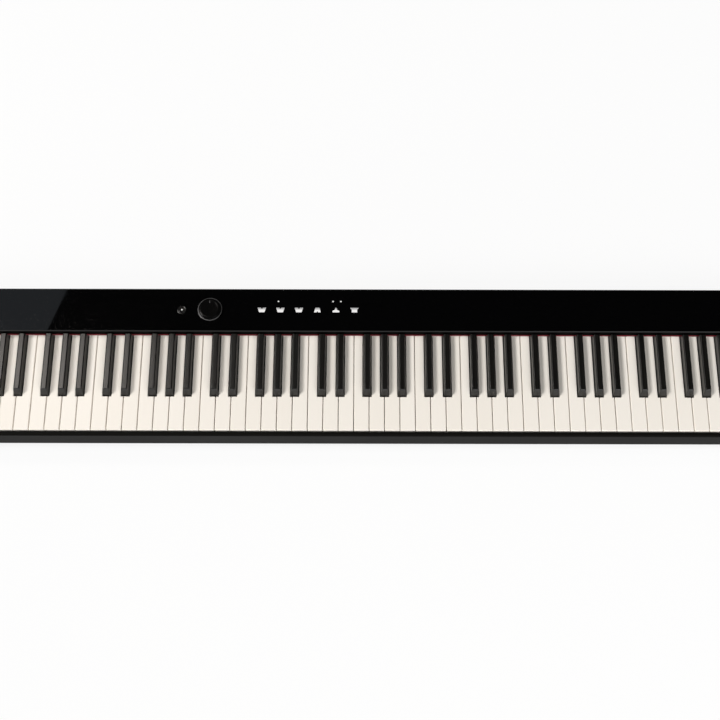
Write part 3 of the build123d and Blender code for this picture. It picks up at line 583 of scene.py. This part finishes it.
def screwHead():
    rise = screws["rise"]
    half, arm = screws["cross"]
    bm = bmesh.new()
    bmesh.ops.create_circle(bm, segments=screws["steps"], radius=screws["radius"] * screws["crown"])
    rim = bm.edges[:]
    cross = [(half, half), (half, arm), (-half, arm), (-half, half), (-arm, half), (-arm, -half), (-half, -half),
             (-half, -arm), (half, -arm), (half, -half), (arm, -half), (arm, half)]
    corners = [bm.verts.new((x, y, 0)) for x, y in cross]
    slot = [bm.edges.new(pair) for pair in zip(corners, corners[1:] + corners[:1])]
    bmesh.ops.bridge_loops(bm, edges=rim + slot)
    deep = bmesh.ops.extrude_edge_only(bm, edges=slot)
    bmesh.ops.translate(bm, verts=vertsOf(deep), vec=(0, 0, -rise * screws["crossDeep"]))
    bmesh.ops.edgeloop_fill(bm, edges=openEdges(deep))
    shoulder = bmesh.ops.extrude_edge_only(bm, edges=rim)
    bmesh.ops.scale(bm, vec=(screws["flare"], screws["flare"], 1), verts=vertsOf(shoulder))
    bmesh.ops.translate(bm, verts=vertsOf(shoulder), vec=(0, 0, -rise * screws["shoulder"]))
    foot = bmesh.ops.extrude_edge_only(bm, edges=openEdges(shoulder))
    bmesh.ops.translate(bm, verts=vertsOf(foot), vec=(0, 0, -rise * (1 - screws["shoulder"])))
    bmesh.ops.edgeloop_fill(bm, edges=openEdges(foot))
    bmesh.ops.recalc_face_normals(bm, faces=bm.faces)
    bmesh.ops.translate(bm, verts=bm.verts, vec=(0, 0, rise))
    return bm


screwPlaces = [(x, y) for x in screws["x"] for y in screws["y"]]
screwPlaces += [(side * screws["endX"], y) for side in (-1, 1) for y in screws["endY"]]
screwRow = bmesh.new()
for count, (x, y) in enumerate(screwPlaces):
    one = screwHead()
    bmesh.ops.rotate(one, cent=(0, 0, 0), matrix=Matrix.Rotation(count * screws["turn"], 3, "Z"),
                     verts=one.verts)
    bmesh.ops.transform(one, matrix=facing((x, y, screws["face"]), (0, 0, -1)), verts=one.verts)
    join(screwRow, one)
    one.free()
piece("caseScrews", screwRow, "case", "blackSteel", smooth=30)

insertRow = bmesh.new()
for x in (-inserts["x"], inserts["x"]):
    for y in (-inserts["y"], inserts["y"]):
        b, f = inserts["bore"], inserts["flange"]
        one = spun([(b, 0.0), (b, 0.35), (b + 0.3, 0.5), (f - 0.3, 0.5), (f, 0.2), (f, 0.0), (b, 0.0)],
                   inserts["steps"], (x, y, inserts["face"]), (0, 0, -1))
        join(insertRow, one)
        one.free()
piece("standInserts", insertRow, "case", "brass")
print("underside made")


# CAD pieces inside the case keep their shape and get a finish

inside = {"key_frame": "frame", "pivot_rod": "steel", "contact_board": "board", "contact_strip": "silicone",
          "panel_board": "board", "volume_potentiometer": "frame", "volume_shaft": "steel", "main_board": "board",
          "speakers": "speaker"}
for name, finish in inside.items():
    nodes[name].data.materials.clear()
    nodes[name].data.materials.append(finishes[finish])
print("inside pieces finished:", len(inside))


# studio: floor, light and camera

studio = {"floor": 14.0, "glow": 0.85,
          "key": {"from": (-0.66, -0.05, 0.80), "aim": (0.0, 0.0, 0.0), "spread": 17.0, "power": 2.0,
                  "tint": (1.0, 1.0, 1.0)},
          "fill": {"from": (1.8, -2.6, 3.4), "aim": (0.0, 0.0, 0.08), "size": (2.4, 2.4), "power": 90.0,
                   "tint": (1.0, 1.0, 1.0)},
          "side": {"from": (-0.95, 0.43, 1.5), "aim": (-0.95, 0.43, 0.0), "size": (0.7, 0.18), "power": 4.8,
                   "tint": (1.0, 0.93, 0.86)}}


def addLamp(name, lamp):
    light = bpy.data.lights.new(name, "SUN" if "spread" in lamp else "AREA")
    made = bpy.data.objects.new(name, light)
    made.location = lamp["from"]
    if "spread" in lamp:
        light.angle = math.radians(lamp["spread"])
    else:
        light.shape = "RECTANGLE"
        light.size, light.size_y = lamp["size"]
    light.energy = lamp["power"]
    light.color = lamp["tint"]
    aim = Vector(lamp["aim"]) - Vector(lamp["from"])
    made.rotation_euler = aim.to_track_quat("-Z", "Y").to_euler()
    made.visible_camera = False
    scene.collection.objects.link(made)


def floorFinish():
    finish = Finish("paleFloor")
    tint = finish.blend(finish.grain(1.5), (0.93, 0.93, 0.925, 1), (0.95, 0.95, 0.945, 1))
    camera, glossy, through = [finish.node("LightPath", {}, {}, flag) for flag in
                               ("Is Camera Ray", "Is Glossy Ray", "Is Transmission Ray")]
    glow = finish.node("Emission", {}, {"Color": (1, 1, 1, 1), "Strength": 1.0})
    finish.surface(Base_Color=tint, Roughness=0.9, Specular_IOR_Level=0.0)
    mix = finish.node("MixShader", {}, {0: studio["glow"] * (camera + glossy + through),
                                        1: Wire(finish, finish.shader.outputs[0]), 2: glow})
    finish.tree.links.new(mix.socket, finish.tree.nodes["Material Output"].inputs["Surface"])
    return finish.owner


bm = bmesh.new()
bmesh.ops.create_grid(bm, x_segments=4, y_segments=4, size=studio["floor"])
floorMesh = bpy.data.meshes.new("floor")
bm.to_mesh(floorMesh)
bm.free()
floorMesh.materials.append(floorFinish())
floor = bpy.data.objects.new("floor", floorMesh)
scene.collection.objects.link(floor)

sky = Finish("studioSky", bpy.data.worlds.new("studioSky"))
scene.world = sky.owner
direction = sky.node("TexCoord", out=0)
across, along, height = sky.axes(direction)
front = sky.spread(along, -0.95, -0.3, 1.0, 0.0)
band = 0.7 * sky.spread(height, 0.12, 0.40, 1.0, 0.0)
band = band + 1.3 * front * sky.spread(height, 0.22, 0.50, 1.0, 0.0)
seen = sky.node("LightPath", {}, {}, 0)
level = band + seen * (1.0 - band)
ground = sky.tree.nodes["Background"]
sky.tree.links.new(level.socket, ground.inputs["Strength"])
ground.inputs["Color"].default_value = (1.0, 0.995, 0.985, 1)

for name in ("key", "fill", "side"):
    addLamp(name + "Light", studio[name])

card = {"corners": ((-0.918, 0.603, 1.594), (-0.869, 0.738, 1.594), (-2.2, 1.3, 1.594), (-2.2, 0.2, 1.594)),
        "glow": 0.35}
bm = bmesh.new()
polygon(bm, card["corners"])
cardMesh = bpy.data.meshes.new("softCard")
bm.to_mesh(cardMesh)
bm.free()
cardFinish = Finish("softCard")
cardFinish.surface(Base_Color=(0, 0, 0, 1), Specular_IOR_Level=0.0, Emission_Color=(0.90, 0.98, 1.08, 1),
                   Emission_Strength=card["glow"])
cardMesh.materials.append(cardFinish.owner)
softCard = bpy.data.objects.new("softCard", cardMesh)
scene.collection.objects.link(softCard)
softCard.visible_camera = False
softCard.visible_shadow = False

lens = {"from": (0.0185, -0.5747, 1.759), "tilt": 19.0, "roll": 0.00223, "long": 57.5, "wide": 36.0,
        "shift": (-0.0083, 0.0)}
camera = bpy.data.cameras.new("photoView")
camera.lens = lens["long"]
camera.sensor_width = lens["wide"]
camera.shift_x, camera.shift_y = lens["shift"]
view = bpy.data.objects.new("photoView", camera)
look = Matrix.Rotation(math.radians(lens["tilt"]), 4, "X") @ Matrix.Rotation(lens["roll"], 4, "Z")
view.matrix_world = Matrix.Translation(lens["from"]) @ look
scene.collection.objects.link(view)
scene.camera = view
print("studio lit")
